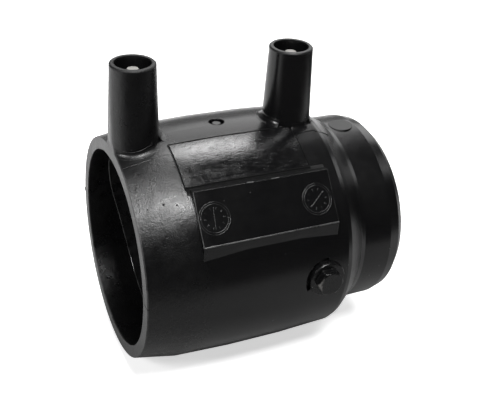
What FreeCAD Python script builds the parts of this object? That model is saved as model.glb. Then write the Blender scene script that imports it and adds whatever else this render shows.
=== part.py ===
import FreeCAD, Part
import os
import re

import Sketcher

# Electrofusion end cap for a 63 mm pipe, standing with its terminals up.
# X runs along the pipe's axis from the mouth (X = 0) to the closed end. Z is up and Y- faces the label side.
# Lengths are in millimetres and angles in degrees. Heights and radii are measured from the pipe's axis.
SIZES = [
    ("bore_radius", 32.0, "socket bore, half a millimetre over the pipe"),
    ("socket_depth", 63.5, "mouth to the ledge that stops the pipe"),
    ("mouth_wall", 3.9, "wall at the mouth's end face"),
    ("taper_length", 12.5, "mouth to the end of the taper"),
    ("crown_wall", 6.95, "wall at the barrel's fullest section"),
    ("crown_station", 39.35, "mouth to the barrel's fullest section"),
    ("crown_bow", 468.0, "radius of the barrel's long curve"),
    ("barrel_band_count", 3.0, "straight bands that follow the long curve"),
    ("shoulder_start", 2.7, "ledge to the shoulder"),
    ("shoulder_length", 7.9, "length of the sloping shoulder"),
    ("shoulder_chamfer", 0.9, "narrow bands that ease the top and the foot of the shoulder"),
    ("shoulder_drop", 6.75, "barrel's fullest section down to the closed end's side"),
    ("end_rounding", 7.3, "rounding round the closed end"),
    ("end_band_count", 3.0, "straight bands that follow that rounding"),
    ("end_length", 17.9, "foot of the shoulder to the closed end's flat"),
    ("cavity_wall", 6.2, "wall round the hollow in the closed end"),
    ("end_wall", 7.5, "thickness of the closed end"),
    ("trim_stock", 5.0, "extra length past the mouth, cut off flat together with the first shroud"),
    ("terminal_station", 7.2, "mouth to the first terminal"),
    ("rear_terminal", 4.8, "second terminal in front of the ledge"),
    ("shroud_height", 23.95, "crown up to the shrouds' rims"),
    ("shroud_draft", 2.2, "slope of a shroud's side"),
    ("shroud_rim_radius", 6.95, "outside of a shroud at its rim"),
    ("shroud_hole_radius", 5.6, "inside of a shroud"),
    ("shroud_depth", 15.5, "depth of the cup inside a shroud"),
    ("rim_chamfer", 0.35, "chamfer on a shroud's rim"),
    ("pin_radius", 2.0, "terminal pin, 4 mm across"),
    ("pin_root_radius", 2.6, "wider root of the pin, moulded in below the floor"),
    ("pin_recess", 1.9, "pin's tip below the rim"),
    ("pin_chamfer", 0.35, "chamfer on the pin's tip"),
    ("pin_foot", 3.6, "bore up to the step that the pin's foot sits on"),
    ("pin_clearance", 0.05, "gap round the pin in its hole"),
    ("lead_hole_radius", 0.65, "hole that brings the wire up to the pin"),
    ("lead_size", 0.8, "lead wires, square in section"),
    ("sleeve_wall", 1.6, "wall of the wound sleeve"),
    ("sleeve_front_low", 12.6, "sleeve's front edge at the bottom"),
    ("sleeve_front_high", 6.2, "sleeve's front edge at the top"),
    ("sleeve_front_drop", 1.0, "front edge starts to lean this far above the bore's lowest point"),
    ("sleeve_front_rise", 6.0, "and stops leaning this far below its highest point"),
    ("sleeve_end", 11.0, "sleeve's plain end in front of the ledge"),
    ("tongue_level", 3.0, "sleeve runs on under the second terminal from this far below the bore's top"),
    ("tongue_overhang", 1.6, "how far the tongue runs past the second terminal"),
    ("seat_clearance", 0.05, "gap between the sleeve and its seat"),
    ("wire_size", 0.9, "heating wire, square in section"),
    ("wire_clearance", 0.05, "gap round the wire in its recess"),
    ("coil_start", 22.0, "mouth to the first turn, after the cold zone"),
    ("coil_end", 6.5, "last turn in front of the sleeve's plain end"),
    ("coil_turns", 2.0, "number of turns"),
    ("plaque_start", 17.1, "mouth to the raised plaque"),
    ("plaque_end", 2.1, "plaque's rear end in front of the ledge"),
    ("plaque_angle", 38.0, "middle of the plaque's face above the horizontal, seen from the mouth"),
    ("plaque_rise", 0.55, "middle of the face outside the barrel's fullest radius"),
    ("plaque_low", 7.6, "middle of the face down to its lower edge"),
    ("plaque_high", 9.1, "middle of the face up to its upper edge"),
    ("plaque_root", 6.0, "how far the plaque's two walls run down into the barrel"),
    ("plaque_lean", 12.0, "backward slope of the plaque's top wall"),
    ("indicator_station", 35.1, "mouth to the fusion indicator"),
    ("indicator_offset", 2.0, "indicator behind the terminals' line"),
    ("indicator_well_radius", 2.55, "well round the indicator"),
    ("indicator_well_depth", 2.4, "depth of the well below the crown"),
    ("indicator_radius", 1.35, "indicator rod"),
    ("indicator_root", 3.9, "crown down to the rod's lower end"),
    ("indicator_sink", 0.6, "crown down to the rod's tip"),
    ("indicator_clearance", 0.05, "gap round the rod in its hole"),
    ("screw_station", 6.0, "clamp screw in front of the ledge"),
    ("screw_seat", 1.55, "crown down to the flat that the screw's collar sits on"),
    ("screw_seat_radius", 7.2, "flat round the clamp screw"),
    ("collar_radius", 6.0, "collar under the screw's head"),
    ("collar_height", 2.1, "thickness of the collar"),
    ("collar_chamfer", 0.4, "chamfer on the collar's edge"),
    ("head_flats", 7.7, "hexagon across its flats"),
    ("head_height", 2.5, "hexagon above the collar"),
    ("head_slope", 30.0, "slope of the chamfer round the hexagon's face"),
    ("shank_radius", 2.5, "clamp screw's shank"),
    ("shank_clearance", 0.1, "gap round the shank in its hole"),
    ("shank_gap", 0.4, "shank's tip short of the bore"),
    ("button_station", 5.7, "foot of the shoulder to the gate mark"),
    ("button_offset", 0.5, "gate mark in front of the terminals' line"),
    ("button_radius", 4.0, "gate mark"),
    ("button_height", 0.15, "gate mark above the closed end"),
    ("run_out", 1.0, "how far a cut runs past the surface it opens"),
]
NAMES = [name for name, number, note in SIZES]

# Places that follow from the sizes above, written as expressions.
CROWN = "(bore_radius + crown_wall)"
END_SIDE = f"({CROWN} - shoulder_drop)"
SHOULDER_TOP = "(socket_depth + shoulder_start)"
SHOULDER_FOOT = f"({SHOULDER_TOP} + shoulder_length)"
CLOSED_END = f"({SHOULDER_FOOT} + end_length)"
RIM = f"({CROWN} + shroud_height)"
CUP_FLOOR = f"({RIM} - shroud_depth)"
PIN_FOOT = "(bore_radius + pin_foot)"
REAR_TERMINAL = "(socket_depth - rear_terminal)"
WIRE_HEIGHT = "(bore_radius + sleeve_wall - wire_clearance - wire_size / 2)"
RECESS_FLOOR = f"({WIRE_HEIGHT} - wire_size / 2 - wire_clearance)"
SLEEVE_END = "(socket_depth - sleeve_end)"
COIL_END = f"({SLEEVE_END} - coil_end)"
SCREW_STATION = "(socket_depth - screw_station)"
COLLAR_SEAT = f"({CROWN} - screw_seat)"

# Two points this near each other count as one when edges are picked.
MATCH = 0.02

doc = FreeCAD.newDocument("ElectrofusionEndCap")
sheet = doc.addObject("Spreadsheet::Sheet", "Sizes")
for row, (name, number, note) in enumerate(SIZES, start=1):
    sheet.set(f"A{row}", name)
    sheet.set(f"B{row}", str(number))
    sheet.set(f"C{row}", note)
    sheet.setAlias(f"B{row}", name)
doc.recompute()


def bound(text):
    """Puts the sheet's name before each size that an expression names."""
    def full(match):
        return f"Sizes.{match.group()}" if match.group() in NAMES else match.group()
    return re.sub(r"[a-z]\w*", full, text)


def size(text):
    """Works out an expression over the sheet's sizes."""
    return float(sheet.evalExpression(bound(text)))


def barrel(station):
    """Expression for the barrel's outside radius at a distance from the mouth."""
    return f"({CROWN} - crown_bow + sqrt(crown_bow^2 - (({station}) - crown_station)^2))"


def new_body(label):
    body = doc.addObject("PartDesign::Body", label)
    body.Label = label
    return body


def origin_part(body, role):
    return [part for part in body.Origin.OriginFeatures if part.Role == role][0]


def new_sketch(body, name, plane, along=None):
    """Adds a sketch on one of the body's planes, shifted along its own axes."""
    sketch = body.newObject("Sketcher::SketchObject", name)
    sketch.AttachmentSupport = [(origin_part(body, plane), "")]
    sketch.MapMode = "FlatFace"
    for axis, text in (along or {}).items():
        sketch.setExpression(f"AttachmentOffset.Base.{axis}", bound(text))
    doc.recompute()
    return sketch


def pin_point(sketch, geometry, spot, across, up):
    """Ties one point of a sketch to two expressions."""
    for kind, text in (("DistanceX", across), ("DistanceY", up)):
        index = sketch.addConstraint(Sketcher.Constraint(kind, -1, 1, geometry, spot, size(text)))
        sketch.setExpression(f"Constraints[{index}]", bound(text))


def add_outline(sketch, corners, bends=None):
    """Draws a closed outline. A bend is a point that the side after that corner curves through."""
    bends = bends or {}
    points = [FreeCAD.Vector(size(across), size(up), 0) for across, up in corners]
    sides = []
    for index, start in enumerate(points):
        stop = points[(index + 1) % len(points)]
        if index not in bends:
            line = sketch.addGeometry(Part.LineSegment(start, stop), False)
            sides.append((line, 1, 2))
            continue
        through = FreeCAD.Vector(size(bends[index][0]), size(bends[index][1]), 0)
        line = sketch.addGeometry(Part.Arc(start, through, stop), False)
        first = sketch.getPoint(line, 1)
        forward = first.distanceToPoint(start) < first.distanceToPoint(stop)
        sides.append((line, 1, 2) if forward else (line, 2, 1))
        mark = sketch.addGeometry(Part.Point(through), True)
        pin_point(sketch, mark, 1, *bends[index])
        sketch.addConstraint(Sketcher.Constraint("PointOnObject", mark, 1, line))
    for index, (line, first, last) in enumerate(sides):
        following = sides[(index + 1) % len(sides)]
        sketch.addConstraint(Sketcher.Constraint("Coincident", line, last, following[0], following[1]))
        pin_point(sketch, line, first, *corners[index])


def add_box(sketch, left, right, low, high):
    add_outline(sketch, [(left, low), (right, low), (right, high), (left, high)])


def add_circle(sketch, across, up, radius):
    centre = FreeCAD.Vector(size(across), size(up), 0)
    ring = sketch.addGeometry(Part.Circle(centre, FreeCAD.Vector(0, 0, 1), size(radius)), False)
    pin_point(sketch, ring, 3, across, up)
    index = sketch.addConstraint(Sketcher.Constraint("Radius", ring, size(radius)))
    sketch.setExpression(f"Constraints[{index}]", bound(radius))


def add_hexagon(sketch, across, up, flats):
    """Draws a hexagon by its width across flats, with two corners left and right."""
    corners = []
    for angle in range(0, 360, 60):
        corners.append((f"{across} + ({flats}) / sqrt(3) * cos({angle} deg)",
                        f"{up} + ({flats}) / sqrt(3) * sin({angle} deg)"))
    add_outline(sketch, corners)


def feature(body, kind, name, sketch=None, **settings):
    """Adds a feature. A setting given as text is an expression, unless it names a choice."""
    made = body.newObject(f"PartDesign::{kind}", name)
    if sketch:
        made.Profile = sketch
    for key, setting in settings.items():
        if isinstance(setting, str) and key not in ("Type", "Mode", "SideType"):
            made.setExpression(key, bound(setting))
        else:
            setattr(made, key, setting)
    doc.recompute()
    return made


def turned(body, kind, name, sketch, axis):
    """Revolves a sketch all the way round one of its own axes."""
    return feature(body, kind, name, sketch, ReferenceAxis=(sketch, [axis]), Angle=360.0)


def edges_where(shape, test):
    """Names of the edges on which every sampled point passes the test."""
    found = []
    for number, edge in enumerate(shape.Edges, start=1):
        if all(test(point) for point in edge.discretize(7)):
            found.append(f"Edge{number}")
    return found


def ring_edges(shape, station, radius):
    """Names of the edges that circle the pipe's axis at a station and a radius."""
    def test(point):
        reach = (point.y ** 2 + point.z ** 2) ** 0.5
        return abs(point.x - size(station)) < MATCH and abs(reach - size(radius)) < MATCH
    return edges_where(shape, test)


def at_both_terminals(body, original, name):
    """Repeats a terminal's feature at the second terminal."""
    pair = feature(body, "LinearPattern", name, Originals=[original], Occurrences=2,
                   Direction=(origin_part(body, "X_Axis"), [""]),
                   Length=f"{REAR_TERMINAL} - terminal_station")
    body.Tip = pair
    doc.recompute()
    return pair


def add_barrel(body):
    """The moulding's outside: taper at the mouth, bowed barrel, shoulder and rounded closed end."""
    sketch = new_sketch(body, "BarrelOutline", "XZ_Plane")
    mouth = "(bore_radius + mouth_wall)"
    slope = f"({barrel('taper_length')} - {mouth}) / taper_length"
    outline = [
        ("-trim_stock", "0"),
        ("-trim_stock", f"{mouth} - trim_stock * {slope}"),
    ]
    for band in range(int(size("barrel_band_count")) + 1):
        station = f"taper_length + ({SHOULDER_TOP} - taper_length) * {band} / barrel_band_count"
        outline.append((station, barrel(station)))
    outline.append((SHOULDER_FOOT, END_SIDE))
    for band in range(int(size("end_band_count")) + 1):
        turn = f"({band} / end_band_count * 90 deg)"
        outline.append((f"{CLOSED_END} - end_rounding * (1 - sin{turn})",
                        f"{END_SIDE} - end_rounding * (1 - cos{turn})"))
    outline.append((CLOSED_END, "0"))
    add_outline(sketch, outline)
    last = turned(body, "Revolution", "Barrel", sketch, "H_Axis")
    shoulder = [
        ("ShoulderTop", SHOULDER_TOP, barrel(SHOULDER_TOP)),
        ("ShoulderFoot", SHOULDER_FOOT, END_SIDE),
    ]
    for name, station, radius in shoulder:
        last = feature(body, "Chamfer", name, Base=(last, ring_edges(last.Shape, station, radius)),
                       Size="shoulder_chamfer")


def add_plaque(body):
    """Raised plaque on the label side: upright front wall, sloping face and a top wall that leans back."""
    sketch = new_sketch(body, "PlaqueSection", "YZ_Plane", {"z": "plaque_start"})
    out, up = "cos(plaque_angle * 1 deg)", "sin(plaque_angle * 1 deg)"
    face = f"({CROWN} + plaque_rise)"
    low = (f"-{face} * {out} - plaque_low * {up}", f"{face} * {up} - plaque_low * {out}")
    high = (f"-{face} * {out} + plaque_high * {up}", f"{face} * {up} + plaque_high * {out}")
    add_outline(sketch, [
        (low[0], f"{low[1]} - plaque_root"),
        low,
        high,
        (f"{high[0]} + plaque_root", f"{high[1]} - plaque_root * tan(plaque_lean * 1 deg)"),
    ])
    return feature(body, "Pad", "Plaque", sketch, Length="socket_depth - plaque_end - plaque_start")


def add_shrouds(body):
    """Two tapered shrouds that stand on top of the barrel."""
    sketch = new_sketch(body, "ShroudOutline", "XZ_Plane", {"x": "terminal_station"})
    foot = "bore_radius - run_out"
    add_outline(sketch, [
        ("0", foot),
        (f"shroud_rim_radius + ({RIM} - rim_chamfer - {foot}) * tan(shroud_draft * 1 deg)", foot),
        ("shroud_rim_radius", f"{RIM} - rim_chamfer"),
        ("shroud_rim_radius - rim_chamfer", RIM),
        ("0", RIM),
    ])
    shroud = turned(body, "Revolution", "Shroud", sketch, "V_Axis")
    return at_both_terminals(body, shroud, "ShroudPair")


def add_gate_button(body):
    """Low round mark on the closed end, where the moulding was gated."""
    sketch = new_sketch(body, "GateOutline", "XY_Plane", {"z": f"{END_SIDE} - button_radius"})
    add_circle(sketch, f"{SHOULDER_FOOT} + button_station", "-button_offset", "button_radius")
    return feature(body, "Pad", "GateButton", sketch, Length="button_radius + button_height")


def trim_mouth(body):
    """Cuts everything in front of the mouth flat, so that the first shroud ends in the mouth's face."""
    sketch = new_sketch(body, "MouthPlane", "YZ_Plane")
    add_circle(sketch, "0", "0", f"{RIM} + run_out")
    return feature(body, "Pocket", "MouthTrim", sketch, Type="ThroughAll")


def cut_socket(body):
    """Pipe socket with its stop ledge, and the hollow closed end behind it."""
    sketch = new_sketch(body, "SocketOutline", "XZ_Plane")
    hollow = f"{END_SIDE} - cavity_wall"
    bottom = f"{CLOSED_END} - end_wall"
    add_outline(sketch, [
        ("-run_out", "0"),
        ("-run_out", "bore_radius"),
        ("socket_depth", "bore_radius"),
        ("socket_depth", hollow),
        (bottom, hollow),
        (bottom, "0"),
    ])
    return turned(body, "Groove", "Socket", sketch, "H_Axis")


def cut_terminals(body):
    """Stepped hole down each shroud: open cup, the pin's root and the wire's way up to it."""
    sketch = new_sketch(body, "TerminalHole", "XZ_Plane", {"x": "terminal_station"})
    root = "pin_root_radius + pin_clearance"
    add_outline(sketch, [
        ("0", f"{RIM} + run_out"),
        ("shroud_hole_radius", f"{RIM} + run_out"),
        ("shroud_hole_radius", CUP_FLOOR),
        (root, CUP_FLOOR),
        (root, PIN_FOOT),
        ("lead_hole_radius", PIN_FOOT),
        ("lead_hole_radius", "bore_radius + run_out"),
        ("0", "bore_radius + run_out"),
    ])
    hole = turned(body, "Groove", "TerminalSocket", sketch, "V_Axis")
    return at_both_terminals(body, hole, "TerminalSocketPair")


def cut_indicator_well(body):
    """Round well in the top of the barrel, with a narrower hole for the fusion indicator."""
    sketch = new_sketch(body, "IndicatorHole", "XZ_Plane",
                        {"x": "indicator_station", "z": "-indicator_offset"})
    shelf = f"{CROWN} - indicator_well_depth"
    rod = "indicator_radius + indicator_clearance"
    foot = f"{CROWN} - indicator_root - indicator_clearance"
    add_outline(sketch, [
        ("0", f"{CROWN} + run_out"),
        ("indicator_well_radius", f"{CROWN} + run_out"),
        ("indicator_well_radius", shelf),
        (rod, shelf),
        (rod, foot),
        ("0", foot),
    ])
    return turned(body, "Groove", "IndicatorWell", sketch, "V_Axis")


def cut_screw_seat(body):
    """Flat round seat on the label side and the clamp screw's hole through the wall."""
    sketch = new_sketch(body, "ScrewHole", "XY_Plane", {"x": SCREW_STATION})
    shank = "shank_radius + shank_clearance"
    add_outline(sketch, [
        ("0", f"-{CROWN} - run_out"),
        ("screw_seat_radius", f"-{CROWN} - run_out"),
        ("screw_seat_radius", f"-{COLLAR_SEAT}"),
        (shank, f"-{COLLAR_SEAT}"),
        (shank, "-bore_radius + run_out"),
        ("0", "-bore_radius + run_out"),
    ])
    return turned(body, "Groove", "ScrewSeat", sketch, "V_Axis")


def shape_sleeve(body, inside, gap):
    """Ring with a leaning front edge and a tongue at the rear, grown by a gap when it is used as a seat."""
    front_high = f"sleeve_front_high - {gap}"
    front_low = f"sleeve_front_low - {gap}"
    tongue_end = f"{REAR_TERMINAL} + tongue_overhang + {gap}"
    sketch = new_sketch(body, "RingSection", "XZ_Plane")
    add_box(sketch, front_high, tongue_end, inside, f"bore_radius + sleeve_wall + {gap}")
    turned(body, "Revolution", "Ring", sketch, "H_Axis")
    # The front edge is two arcs of one radius that meet halfway, seen from the side.
    high, low = "(bore_radius - sleeve_front_rise)", "(sleeve_front_drop - bore_radius)"
    fall = f"({high} - {low})"
    lean = "(sleeve_front_low - sleeve_front_high)"
    arc = f"(({fall}^2 + {lean}^2) / (4 * {lean}))"
    bulge = f"{arc} - sqrt({arc}^2 - ({fall} / 4)^2)"
    below = f"-{RIM}"
    sketch = new_sketch(body, "FrontEdge", "XZ_Plane")
    add_outline(sketch, [
        (front_high, high),
        (f"{front_high} + {lean} / 2", f"{high} - {fall} / 2"),
        (front_low, low),
        (front_low, below),
        (f"{front_high} - run_out", below),
        (f"{front_high} - run_out", high),
    ], {
        0: (f"{front_high} + {bulge}", f"{high} - {fall} / 4"),
        1: (f"{front_low} - ({bulge})", f"{low} + {fall} / 4"),
    })
    feature(body, "Pocket", "FrontCut", sketch, Type="ThroughAll", Midplane=True)
    sketch = new_sketch(body, "RearEdge", "XZ_Plane")
    add_box(sketch, f"{SLEEVE_END} + {gap}", f"{tongue_end} + run_out", below,
            f"bore_radius - tongue_level - {gap}")
    return feature(body, "Pocket", "RearCut", sketch, Type="ThroughAll", Midplane=True)


def make_fitting():
    """The black moulding, cut out where the wound sleeve is bedded in its bore."""
    blank = new_body("fitting_blank")
    add_barrel(blank)
    add_plaque(blank)
    add_shrouds(blank)
    add_gate_button(blank)
    trim_mouth(blank)
    cut_socket(blank)
    cut_terminals(blank)
    cut_indicator_well(blank)
    cut_screw_seat(blank)
    seat = new_body("sleeve_seat")
    shape_sleeve(seat, "bore_radius - run_out", "seat_clearance")
    fitting = doc.addObject("Part::Cut", "Fitting")
    fitting.Base = blank
    fitting.Tool = seat
    fitting.Label = "fitting_body"
    return fitting


def make_sleeve():
    """Sleeve with a winding recess for the wire and a straight slot from it to each terminal."""
    body = new_body("coil_sleeve")
    shape_sleeve(body, "bore_radius", "0")
    sketch = new_sketch(body, "RecessSection", "XZ_Plane")
    half = "(wire_size / 2 + wire_clearance)"
    add_box(sketch, f"coil_start - {half}", f"{COIL_END} + {half}", RECESS_FLOOR,
            "bore_radius + sleeve_wall + run_out")
    turned(body, "Groove", "WindingRecess", sketch, "H_Axis")
    sketch = new_sketch(body, "SlotOutline", "XY_Plane", {"z": RECESS_FLOOR})
    add_box(sketch, f"terminal_station - {half}", "coil_start", f"-{half}", half)
    add_box(sketch, COIL_END, f"{REAR_TERMINAL} + {half}", f"-{half}", half)
    feature(body, "Pocket", "LeadSlots", sketch, Length="sleeve_wall + run_out", Reversed=True)
    return body


def make_coil():
    """Heating wire wound round the sleeve, with a straight lead from each end to a terminal."""
    body = new_body("heating_coil")
    sketch = new_sketch(body, "WireSection", "XZ_Plane")
    wire = "wire_size / 2"
    add_box(sketch, f"coil_start - {wire}", f"coil_start + {wire}", f"{WIRE_HEIGHT} - {wire}",
            f"{WIRE_HEIGHT} + {wire}")
    feature(body, "AdditiveHelix", "Winding", sketch, ReferenceAxis=(sketch, ["H_Axis"]),
            Mode="pitch-turns-angle", Pitch=f"({COIL_END} - coil_start) / coil_turns", Turns="coil_turns")
    lead = "lead_size / 2"
    routes = [
        ("Front", "terminal_station", "terminal_station", "coil_start"),
        ("Rear", REAR_TERMINAL, COIL_END, REAR_TERMINAL),
    ]
    for side, terminal, start, stop in routes:
        sketch = new_sketch(body, f"{side}LeadSection", "YZ_Plane", {"z": f"{start} - {lead}"})
        add_box(sketch, f"-{lead}", lead, f"{WIRE_HEIGHT} - {lead}", f"{WIRE_HEIGHT} + {lead}")
        feature(body, "Pad", f"{side}Lead", sketch, Length=f"{stop} - {start} + lead_size")
        sketch = new_sketch(body, f"{side}RiserSection", "XY_Plane", {"z": WIRE_HEIGHT})
        add_box(sketch, f"{terminal} - {lead}", f"{terminal} + {lead}", f"-{lead}", lead)
        feature(body, "Pad", f"{side}Riser", sketch, Length=f"{PIN_FOOT} - pin_clearance - {WIRE_HEIGHT}")
    return body


def make_pin(label, station):
    """Terminal pin: wide root above the wire's end, and a slim stem with a chamfered tip."""
    body = new_body(label)
    sketch = new_sketch(body, "PinOutline", "XZ_Plane", {"x": station})
    tip = f"{RIM} - pin_recess"
    add_outline(sketch, [
        ("0", PIN_FOOT),
        ("pin_root_radius", PIN_FOOT),
        ("pin_root_radius", CUP_FLOOR),
        ("pin_radius", CUP_FLOOR),
        ("pin_radius", f"{tip} - pin_chamfer"),
        ("pin_radius - pin_chamfer", tip),
        ("0", tip),
    ])
    turned(body, "Revolution", "Pin", sketch, "V_Axis")
    return body


def make_indicator():
    """Small rod that rises a little in its well when the joint is fused."""
    body = new_body("fusion_indicator")
    sketch = new_sketch(body, "RodOutline", "XZ_Plane", {"x": "indicator_station", "z": "-indicator_offset"})
    add_box(sketch, "0", "indicator_radius", f"{CROWN} - indicator_root", f"{CROWN} - indicator_sink")
    turned(body, "Revolution", "Rod", sketch, "V_Axis")
    return body


def make_screw():
    """Clamp screw: hexagon head on a round collar, and a shank that ends just short of the bore."""
    body = new_body("clamp_screw")
    collar_front = f"({COLLAR_SEAT} + collar_height)"
    face = f"({collar_front} + head_height)"
    sketch = new_sketch(body, "CollarOutline", "XY_Plane", {"x": SCREW_STATION})
    add_outline(sketch, [
        ("0", f"-{collar_front}"),
        ("collar_radius", f"-{collar_front}"),
        ("collar_radius", f"-{COLLAR_SEAT}"),
        ("shank_radius", f"-{COLLAR_SEAT}"),
        ("shank_radius", "-bore_radius - shank_gap"),
        ("0", "-bore_radius - shank_gap"),
    ])
    collar = turned(body, "Revolution", "Collar", sketch, "V_Axis")

    def on_rim(point):
        reach = ((point.x - size(SCREW_STATION)) ** 2 + point.z ** 2) ** 0.5
        return abs(point.y + size(collar_front)) < MATCH and abs(reach - size("collar_radius")) < MATCH
    feature(body, "Chamfer", "CollarRim", Base=(collar, edges_where(collar.Shape, on_rim)),
            Size="collar_chamfer")
    sketch = new_sketch(body, "HeadOutline", "XZ_Plane", {"z": f"{collar_front} - collar_height / 2"})
    add_hexagon(sketch, SCREW_STATION, "0", "head_flats")
    feature(body, "Pad", "Head", sketch, Length="head_height + collar_height / 2")
    sketch = new_sketch(body, "HeadChamfer", "XY_Plane", {"x": SCREW_STATION})
    reach = "head_flats / 2"
    add_outline(sketch, [
        (reach, f"-{face}"),
        (f"{reach} + run_out", f"-{face} + run_out * tan(head_slope * 1 deg)"),
        (f"{reach} + run_out", f"-{face} - run_out"),
        (reach, f"-{face} - run_out"),
    ])
    turned(body, "Groove", "HeadCorners", sketch, "V_Axis")
    return body


pieces = [
    make_fitting(),
    make_sleeve(),
    make_coil(),
    make_pin("terminal_pin_mouth", "terminal_station"),
    make_pin("terminal_pin_closed", REAR_TERMINAL),
    make_indicator(),
    make_screw(),
]
doc.recompute()
for item in doc.Objects:
    if "Invalid" in item.State or "Error" in item.State:
        raise RuntimeError(f"{item.Name} did not build: {item.State}")
os.makedirs("parts", exist_ok=True)
for piece in pieces:
    shape = piece.Shape
    if shape.isNull() or not shape.isValid() or len(shape.Solids) != 1:
        raise RuntimeError(f"{piece.Label} is not one sound solid")
    shape.exportStep(f"parts/{piece.Label}.step")
    print(piece.Label, "volume", round(shape.Volume, 1), "faces", len(shape.Faces))
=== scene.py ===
import math

import bmesh
import bpy
from mathutils import Matrix, Vector


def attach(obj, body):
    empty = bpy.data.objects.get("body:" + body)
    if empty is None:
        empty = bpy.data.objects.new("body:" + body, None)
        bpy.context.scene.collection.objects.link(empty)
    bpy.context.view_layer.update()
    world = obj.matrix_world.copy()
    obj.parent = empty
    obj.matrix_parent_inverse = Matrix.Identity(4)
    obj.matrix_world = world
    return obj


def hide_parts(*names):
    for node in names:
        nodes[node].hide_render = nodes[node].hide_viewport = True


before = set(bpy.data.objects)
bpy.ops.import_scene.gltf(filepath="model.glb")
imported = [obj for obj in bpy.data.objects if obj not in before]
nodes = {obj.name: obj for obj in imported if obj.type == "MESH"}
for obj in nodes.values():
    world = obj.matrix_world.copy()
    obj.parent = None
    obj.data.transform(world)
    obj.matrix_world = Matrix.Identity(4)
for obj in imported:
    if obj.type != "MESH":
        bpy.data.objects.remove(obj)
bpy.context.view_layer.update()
scene = bpy.context.scene
mm = 0.001
print("stage: frame loaded")

# Camera, fitted to the photograph's outlines: place in metres, turn in degrees, lens in mm.
cameraSet = {
    "place": (-0.05902, -0.22261, 0.15647),
    "turn": (61.7276, -3.4341, -24.3570),
    "lens": 63.477,
    "sensor": 36.0,
    "shift": (-0.041667, -0.083333),
    "clip": (0.01, 20.0),
}
cameraData = bpy.data.cameras.new("photoCamera")
cameraData.sensor_fit = "HORIZONTAL"
cameraData.sensor_width = cameraSet["sensor"]
cameraData.lens = cameraSet["lens"]
cameraData.shift_x, cameraData.shift_y = cameraSet["shift"]
cameraData.clip_start, cameraData.clip_end = cameraSet["clip"]
camera = bpy.data.objects.new("photoCamera", cameraData)
camera.location = cameraSet["place"]
camera.rotation_euler = [math.radians(angle) for angle in cameraSet["turn"]]
scene.collection.objects.link(camera)
scene.camera = camera


def newMaterial(name):
    material = bpy.data.materials.new(name)
    material.use_nodes = True
    tree = material.node_tree
    return material, tree, tree.nodes["Principled BSDF"]


# Each input takes a plain value or another node's socket.
def feed(tree, node, values):
    for key, value in values.items():
        if isinstance(value, bpy.types.NodeSocket):
            tree.links.new(value, node.inputs[key])
        else:
            node.inputs[key].default_value = value


def addNode(tree, kind, values=None, **settings):
    node = tree.nodes.new(kind)
    for key, value in settings.items():
        setattr(node, key, value)
    feed(tree, node, values or {})
    return node


def mathNode(tree, operation, *inputs):
    return addNode(tree, "ShaderNodeMath", dict(enumerate(inputs)), operation=operation).outputs[0]


def product(tree, first, *others):
    for other in others:
        first = mathNode(tree, "MULTIPLY", first, other)
    return first


def vectorNode(tree, operation, *inputs):
    node = addNode(tree, "ShaderNodeVectorMath", dict(enumerate(inputs)), operation=operation)
    return node.outputs["Value" if operation in ("DOT_PRODUCT", "DISTANCE", "LENGTH") else "Vector"]


def rangeNode(tree, value, low, high, toLow=0.0, toHigh=1.0):
    limits = dict(enumerate((value, low, high, toLow, toHigh)))
    return addNode(tree, "ShaderNodeMapRange", limits, interpolation_type="SMOOTHSTEP").outputs[0]


def colourMix(tree, factor, first, second):
    first, second = ((*shade, 1) if isinstance(shade, tuple) else shade for shade in (first, second))
    return addNode(tree, "ShaderNodeMix", {0: factor, 6: first, 7: second}, data_type="RGBA").outputs[2]


def objectPlace(tree):
    return addNode(tree, "ShaderNodeTexCoord").outputs["Object"]


def splitAxes(tree, place):
    return addNode(tree, "ShaderNodeSeparateXYZ", {0: place}).outputs


def noiseNode(tree, place, scale, detail, roughness=0.5):
    values = {"Vector": place, "Scale": scale, "Detail": detail, "Roughness": roughness}
    return addNode(tree, "ShaderNodeTexNoise", values).outputs[0]


def bumpNode(tree, height, distance, **normal):
    values = {"Strength": 1.0, "Height": height, "Distance": distance, **normal}
    return addNode(tree, "ShaderNodeBump", values).outputs[0]


def grey(value):
    return (value, value, value)


# Floor: white for the camera. In reflections it is dark, greyer near and on the right, and light behind.
floorSet = {
    "level": -0.0390,
    "size": 6.0,
    "seen": 0.95,
    "lift": 0.62,
    "near": 0.26,
    "far": 0.03,
    "right": 0.42,
    "behind": 0.95,
    "behindWay": (-0.45, 0.89, 0.0),
    "behindFrom": (-0.07, 0.15),
    "nearShape": (0.45, 1.0, 1.0),
    "nearMiddle": (0.038, -0.030, 0.0),
    "nearEdge": (0.080, 0.125),
    "rightFrom": (0.115, 0.170),
}
bpy.ops.mesh.primitive_plane_add(size=floorSet["size"], location=(0, 0, floorSet["level"]))
floor = bpy.context.object
floor.name = "floor"
floorMaterial, floorTree, floorShader = newMaterial("floorWhite")
floorCamera = addNode(floorTree, "ShaderNodeLightPath").outputs["Is Camera Ray"]
floorPlace = objectPlace(floorTree)
floorAlong = vectorNode(floorTree, "DOT_PRODUCT", floorPlace, floorSet["behindWay"])
floorOval = vectorNode(floorTree, "MULTIPLY", floorPlace, floorSet["nearShape"])
floorSpread = vectorNode(floorTree, "DISTANCE", floorOval, floorSet["nearMiddle"])
floorBehind = rangeNode(floorTree, floorAlong, *floorSet["behindFrom"])
floorAway = rangeNode(floorTree, floorSpread, *floorSet["nearEdge"])
floorSide = rangeNode(floorTree, splitAxes(floorTree, floorPlace)["X"], *floorSet["rightFrom"])
floorMirrored = colourMix(floorTree, floorSide, grey(floorSet["near"]), grey(floorSet["right"]))
floorMirrored = colourMix(floorTree, floorAway, floorMirrored, grey(floorSet["far"]))
floorMirrored = colourMix(floorTree, floorBehind, floorMirrored, grey(floorSet["behind"]))
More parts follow.
